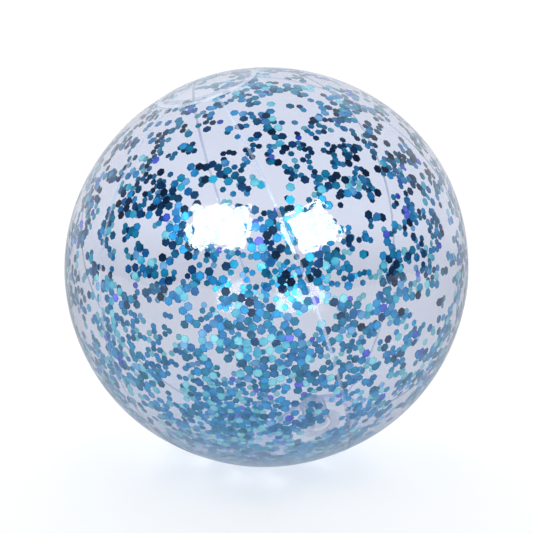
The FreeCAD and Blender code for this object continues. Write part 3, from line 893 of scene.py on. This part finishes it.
flake_meshes = {tint: bmesh.new() for tint in FOIL_TINTS_AND_REFLECTIONS}
glints = {tint: bm.faces.layers.float.new("glint") for tint, bm in flake_meshes.items()}
for direction in places:
    tint = draw_tint(direction)
    bm = flake_meshes[tint]
    made = bmesh.ops.create_cone(
        bm, cap_ends=True, segments=6, radius1=FLAKE_RADIUS, radius2=FLAKE_RADIUS,
        depth=FLAKE_THICKNESS, matrix=flake_matrix(direction),
    )
    glint = draw_glint(direction)
    for face in {face for vert in made["verts"] for face in vert.link_faces}:
        # Painted shade: the side that faces the film is darker.
        if face.normal.dot(direction) > FACES_FILM:
            face[glints[tint]] = glint * FILM_SIDE
        else:
            face[glints[tint]] = INNER_SIDE_LEAST + glint * (1.0 - INNER_SIDE_LEAST)
for tint, bm in flake_meshes.items():
    caps = [face for face in bm.faces if len(face.verts) == 6]
    borders = bmesh.ops.inset_individual(bm, faces=caps, thickness=FLAKE_BORDER)["faces"]
    # Painted shade: the border of each face is darker.
    for face in borders:
        face[glints[tint]] = face[glints[tint]] * BORDER_SHARE - BORDER_PAINTED_SHADE
    flakes = new_piece(
        f"flakes_{tint}", bm, [foils[tint]], "ball", [f"confetti_{tint}"]
    )
    flakes.data.shade_flat()
    print(f"{tint}: {len(caps) // 2} flakes")

# %% [markdown]
# ## The valve
#
# The valve is moulded in softer, thicker and milkier vinyl than the film.  Its turned pieces
# already have the right form in the frame, but a mould leaves no sharp edges.  A copy of
# each, with its triangles merged back into whole faces and a small bevel on every edge,
# catches the light as the real one does.

# %% Rounded copies of the moulded pieces
MOULD_ROUND = 0.18 * MM
ONE_PLANE = math.radians(1.0)
SHARP = math.radians(50)


def moulded(node, body):
    """A copy of a turned or cut CAD node with rounded edges, in its place."""
    bm = bmesh.new()
    bm.from_mesh(frame["nodes"][node].data)
    bmesh.ops.remove_doubles(bm, verts=bm.verts, dist=MERGE_DISTANCE)
    bmesh.ops.dissolve_limit(bm, angle_limit=ONE_PLANE, verts=bm.verts, edges=bm.edges)
    piece = new_piece(f"soft_{node}", bm, [soft_vinyl], body, [node])
    edge = piece.modifiers.new("mould_edges", "BEVEL")
    edge.width = MOULD_ROUND
    edge.segments = 2
    edge.limit_method = "ANGLE"
    edge.angle_limit = SHARP
    print(piece.name, "has", len(piece.data.polygons), "faces")


moulded("valve_flange", "ball")
moulded("valve_stem", "valve")
moulded("valve_plug", "plug")
moulded("check_flap", "flap")

# %% [markdown]
# ## The rolling skirt
#
# A thin skirt joins the stem to the ball's mouth.  It hangs inwards as a pocket with a
# rounded bottom, and it turns inside out when the stem is pulled.  Its half section is a
# short line, a quarter round and another line, spun about the valve's axis.

# %% The skirt as a rounded pocket
SKIRT_WALL = 0.6 * MM
SKIRT_RADIUS = MOUTH_RADIUS - 0.32 * MM
SKIRT_TOP = 0.3 * MM
SKIRT_FLOOR = 20.75 * MM
SKIRT_ROUND = 2.4 * MM
SKIRT_ROWS = 14
STEM_RADIUS = 6.0 * MM
STEM_OVERLAP = 0.12 * MM


def depth_point(radius, depth):
    """A point of the valve's half section, about the ball's axes, at a depth inside the film."""
    return Vector((radius, 0.0, depth - POLE_HEIGHT))


def place_soft(bm):
    """Merge, place and turn outwards a bmesh that was made about the ball's axes."""
    bmesh.ops.remove_doubles(bm, verts=bm.verts, dist=MERGE_DISTANCE)
    bmesh.ops.transform(bm, matrix=to_place, verts=bm.verts)
    bmesh.ops.recalc_face_normals(bm, faces=bm.faces)


bm = bmesh.new()
foot = bm.verts.new(depth_point(SKIRT_RADIUS, SKIRT_TOP))
row_step = Vector((0, 0, (SKIRT_FLOOR - SKIRT_ROUND - SKIRT_TOP) / SKIRT_ROWS))
for _ in range(SKIRT_ROWS):
    foot = bmesh.ops.extrude_vert_indiv(bm, verts=[foot])["verts"][0]
    foot.co += row_step
turned_in = bmesh.ops.spin(
    bm, geom=[foot], cent=depth_point(SKIRT_RADIUS - SKIRT_ROUND, SKIRT_FLOOR - SKIRT_ROUND),
    axis=(0, 1, 0), angle=-math.pi / 2, steps=8,
)
floor_edge = next(v for v in turned_in["geom_last"] if isinstance(v, bmesh.types.BMVert))
rim = bmesh.ops.extrude_vert_indiv(bm, verts=[floor_edge])["verts"][0]
rim.co.x = STEM_RADIUS + STEM_OVERLAP
bmesh.ops.spin(
    bm, geom=bm.verts[:] + bm.edges[:], cent=(0, 0, 0), axis=(0, 0, 1),
    angle=2.0 * math.pi, steps=64, use_merge=True,
)
place_soft(bm)
skirt = kept_object("soft_skirt", bm, [soft_vinyl])
thicken(skirt, "skirt_wall", SKIRT_WALL, 0.0)
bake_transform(skirt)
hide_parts("valve_skirt")
print("skirt:", len(skirt.data.polygons), "faces")

# %% [markdown]
# ## The plug's strap
#
# A flat strap keeps the plug on the stem.  It runs inwards beside the stem, turns in a small
# loop and comes back out to the finger tab.  One edge across the strap is pushed along, spun
# half a turn and pushed back, and the strip is thickened.

# %% The strap as a bent ribbon
STRAP_WIDTH = 4.0 * MM
STRAP_THICKNESS = 0.8 * MM
STRAP_GAP = 0.02 * MM
STRAP_REACH = 8.58 * MM
STRAP_NEAR = STEM_RADIUS + STRAP_GAP + STRAP_THICKNESS / 2
STRAP_FAR = STRAP_REACH - STRAP_THICKNESS / 2
STRAP_ROOT = 3.02 * MM
STRAP_LOOP = 9.02 * MM
STRAP_HEAD = 1.97 * MM
LEG_ROWS = 8


def leg(bm, edge, distance):
    """Push an edge along the valve's axis in even rows."""
    for _ in range(LEG_ROWS):
        pushed = bmesh.ops.extrude_edge_only(bm, edges=[edge])["geom"]
        verts = [item for item in pushed if isinstance(item, bmesh.types.BMVert)]
        bmesh.ops.translate(bm, verts=verts, vec=(0, 0, distance / LEG_ROWS))
        edge = next(item for item in pushed if isinstance(item, bmesh.types.BMEdge)
                    and all(vert in verts for vert in item.verts))
    return edge


bm = bmesh.new()
ends = [
    bm.verts.new(depth_point(STRAP_NEAR, STRAP_ROOT) + Vector((0, side * STRAP_WIDTH / 2, 0)))
    for side in (-1, 1)
]
edge = leg(bm, bm.edges.new(ends), STRAP_LOOP - STRAP_ROOT)
looped = bmesh.ops.spin(
    bm, geom=[edge, *edge.verts], cent=depth_point((STRAP_NEAR + STRAP_FAR) / 2, STRAP_LOOP),
    axis=(0, 1, 0), angle=math.pi, steps=10,
)
edge = next(item for item in looped["geom_last"] if isinstance(item, bmesh.types.BMEdge))
leg(bm, edge, STRAP_HEAD - STRAP_LOOP)
place_soft(bm)
strap = kept_object("soft_strap", bm, [soft_vinyl])
thicken(strap, "strap_thickness", STRAP_THICKNESS, 0.0)
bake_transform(strap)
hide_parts("plug_strap")
print("strap:", len(strap.data.polygons), "faces")

# %% [markdown]
# ## The floor
#
# A pale floor that fades into a white room shows the object without distraction.  Close
# under a clear ball, a white floor would shine through the film and wash the confetti out.
# So within about a metre the floor is a little darker where a ray reaches it through
# something see-through, a painted shadow of the ball, and it is darker again in the film's
# reflections, a painted shade.  Seen directly it stays white.

# %% Floor
FLOOR_WHITE = 0.96
FLOOR_DROP = 0.5 * MM
FLOOR_SIZE = 6.0
# Painted shadow of the ball on the floor seen through film, and painted shade in reflections.
PAINTED_SHADOW_WITHIN = (0.65, 1.35)
PAINTED_SHADOW_THROUGH_FILM = (0.80, 1.0)
PAINTED_SHADE_IN_GLOSS = 0.30
stage_material, nodes, links, output = new_material("studio_floor")
matte = nodes.new("ShaderNodeBsdfDiffuse")
links.new(matte.outputs[0], output.inputs["Surface"])
rays = nodes.new("ShaderNodeLightPath").outputs
from_middle = nodes.new("ShaderNodeVectorMath")
from_middle.operation = "LENGTH"
links.new(own_coordinates(nodes), from_middle.inputs[0])
# Painted shadow: the floor seen through the film is darker near the ball.
painted_shadow = map_range(nodes, links, from_middle.outputs["Value"], PAINTED_SHADOW_WITHIN, PAINTED_SHADOW_THROUGH_FILM)
painted_shadow.interpolation_type = "SMOOTHSTEP"
through = math_node(nodes, links, "MINIMUM", rays["Transparent Depth"], 1.0)
painted_shading = nodes.new("ShaderNodeMix")
painted_shading.inputs["A"].default_value = 1.0
links.new(through, painted_shading.inputs["Factor"])
links.new(painted_shadow.outputs["Result"], painted_shading.inputs["B"])
# Painted shade: the floor is darker in reflections.
in_gloss = rays["Is Glossy Ray"]
mirrored = math_node(nodes, links, "MULTIPLY_ADD", in_gloss, -PAINTED_SHADE_IN_GLOSS, FLOOR_WHITE)
whiteness = math_node(nodes, links, "MULTIPLY", painted_shading.outputs["Result"], mirrored)
links.new(whiteness, matte.inputs["Color"])
bm = bmesh.new()
bmesh.ops.create_grid(bm, x_segments=2, y_segments=2, size=FLOOR_SIZE)
floor = kept_object("floor", bm, [stage_material])
floor.location.z = -FLOOR_DROP
print("floor:", [round(size, 1) for size in floor.dimensions])

# %% [markdown]
# ## The room
#
# The eye sees a plain white room behind the object.  What lights the ball and shows in its
# film is a room that is dark in front and white at the back, as in a studio where the camera
# stands in the dark part.  Otherwise the whole front of the film would mirror white.

# %% World
BACKDROP = 1.05
BACK_WALL = (0.05, 0.75)
FRONT_AND_BACK = (0.03, 1.0)
world = bpy.data.worlds.new("studio")
bpy.context.scene.world = world
world.use_nodes = True
nodes, links = world.node_tree.nodes, world.node_tree.links
nodes.clear()
seen = nodes.new("ShaderNodeBackground")
seen.inputs["Color"].default_value = (BACKDROP, BACKDROP, BACKDROP, 1)
room = nodes.new("ShaderNodeBackground")
way = nodes.new("ShaderNodeSeparateXYZ")
links.new(nodes.new("ShaderNodeTexCoord").outputs["Generated"], way.inputs[0])
back_wall = map_range(nodes, links, way.outputs["Y"], BACK_WALL, FRONT_AND_BACK)
links.new(back_wall.outputs["Result"], room.inputs["Color"])
directly = nodes.new("ShaderNodeLightPath").outputs["Is Camera Ray"]
surroundings = mixed(nodes, links, directly, room.outputs[0], seen.outputs[0])
links.new(surroundings, nodes.new("ShaderNodeOutputWorld").inputs["Surface"])
print("world:", world.name)

# %% [markdown]
# ## The camera
#
# The camera looks a little down on the ball from five of its radii away.  That is near
# enough for the flakes on the near wall to look clearly larger than those on the far wall.

# %% Camera
CAMERA_DISTANCE = 5.0 * EQUATOR_RADIUS
CAMERA_HEIGHT = math.radians(10.0)
LENS_MM = 67.0
SENSOR_MM = 36.0
aim = Vector((0.0, 0.0, centre.z))
to_camera = Vector((0, -math.cos(CAMERA_HEIGHT), math.sin(CAMERA_HEIGHT)))
camera_data = bpy.data.cameras.new("camera")
camera_data.lens = LENS_MM
camera_data.sensor_width = SENSOR_MM
camera = bpy.data.objects.new("camera", camera_data)
camera.location = aim + to_camera * CAMERA_DISTANCE
camera.rotation_euler = (-to_camera).to_track_quat("-Z", "Y").to_euler()
bpy.context.scene.collection.objects.link(camera)
bpy.context.scene.camera = camera
print("camera", [round(c, 3) for c in camera.location])

# %% [markdown]
# ## The lights
#
# Two large soft boxes stand in front of the ball, high to the left and the right, and their
# images in the film are the two bright patches that make it look tight and glossy.  They
# light the ball only.  The floor has a wide light of its own from straight above, which
# casts no shadow, so that the floor stays as white as the room behind it.

# %% Lights
BOX_TINT = (0.96, 1.0, 0.985)
BOX_DISTANCE = 1.0
CEILING_POWER = 2.55
CEILING_SPREAD = math.radians(80)
camera_right = Vector((1, 0, 0))
camera_up = to_camera.cross(camera_right)


def soft_box(name, sideways, upwards, forwards, size, power, roll):
    """A rectangular light aimed at the ball, placed by its direction as the camera sees it."""
    towards = (camera_right * sideways + camera_up * upwards + to_camera * forwards).normalized()
    data = bpy.data.lights.new(name, "AREA")
    data.shape = "RECTANGLE"
    data.size, data.size_y = size
    data.energy = power
    data.color = BOX_TINT
    light = bpy.data.objects.new(name, data)
    light.location = aim + towards * BOX_DISTANCE
    rolled = Matrix.Rotation(math.radians(roll), 3, "Z").to_quaternion()
    light.rotation_euler = ((-towards).to_track_quat("-Z", "Y") @ rolled).to_euler()
    bpy.context.scene.collection.objects.link(light)
    return light


boxes = [
    soft_box("left_box", -0.385, 0.375, 0.84, size=(0.52, 0.38), power=9.2, roll=6),
    soft_box("right_box", 0.37, 0.345, 0.86, size=(0.38, 0.34), power=6.1, roll=20),
]
ball_only = bpy.data.collections.new("lit_by_the_soft_boxes")
for thing in bpy.context.scene.objects:
    if thing.type == "MESH" and thing is not floor:
        ball_only.objects.link(thing)
for box in boxes:
    box.light_linking.receiver_collection = ball_only
floor_only = bpy.data.collections.new("lit_by_the_ceiling")
floor_only.objects.link(floor)
ceiling = bpy.data.objects.new("ceiling", bpy.data.lights.new("ceiling", "SUN"))
ceiling.data.energy = CEILING_POWER
ceiling.data.angle = CEILING_SPREAD
ceiling.light_linking.receiver_collection = floor_only
ceiling.light_linking.blocker_collection = floor_only
bpy.context.scene.collection.objects.link(ceiling)
print("lights:", ", ".join(light.name for light in (*boxes, ceiling)))

# %% [markdown]
# ## Colour, see-through steps and the end
#
# The view is left without a film look, so that white stays white.  A ray may cross many
# layers of clear film before it reaches the floor, so it is allowed more than the usual
# number of see-through steps.

# %% Colour, see-through steps, and the end
SEE_THROUGH_STEPS = 32
bpy.context.scene.view_settings.view_transform = "Standard"
bpy.context.scene.cycles.transparent_max_bounces = SEE_THROUGH_STEPS
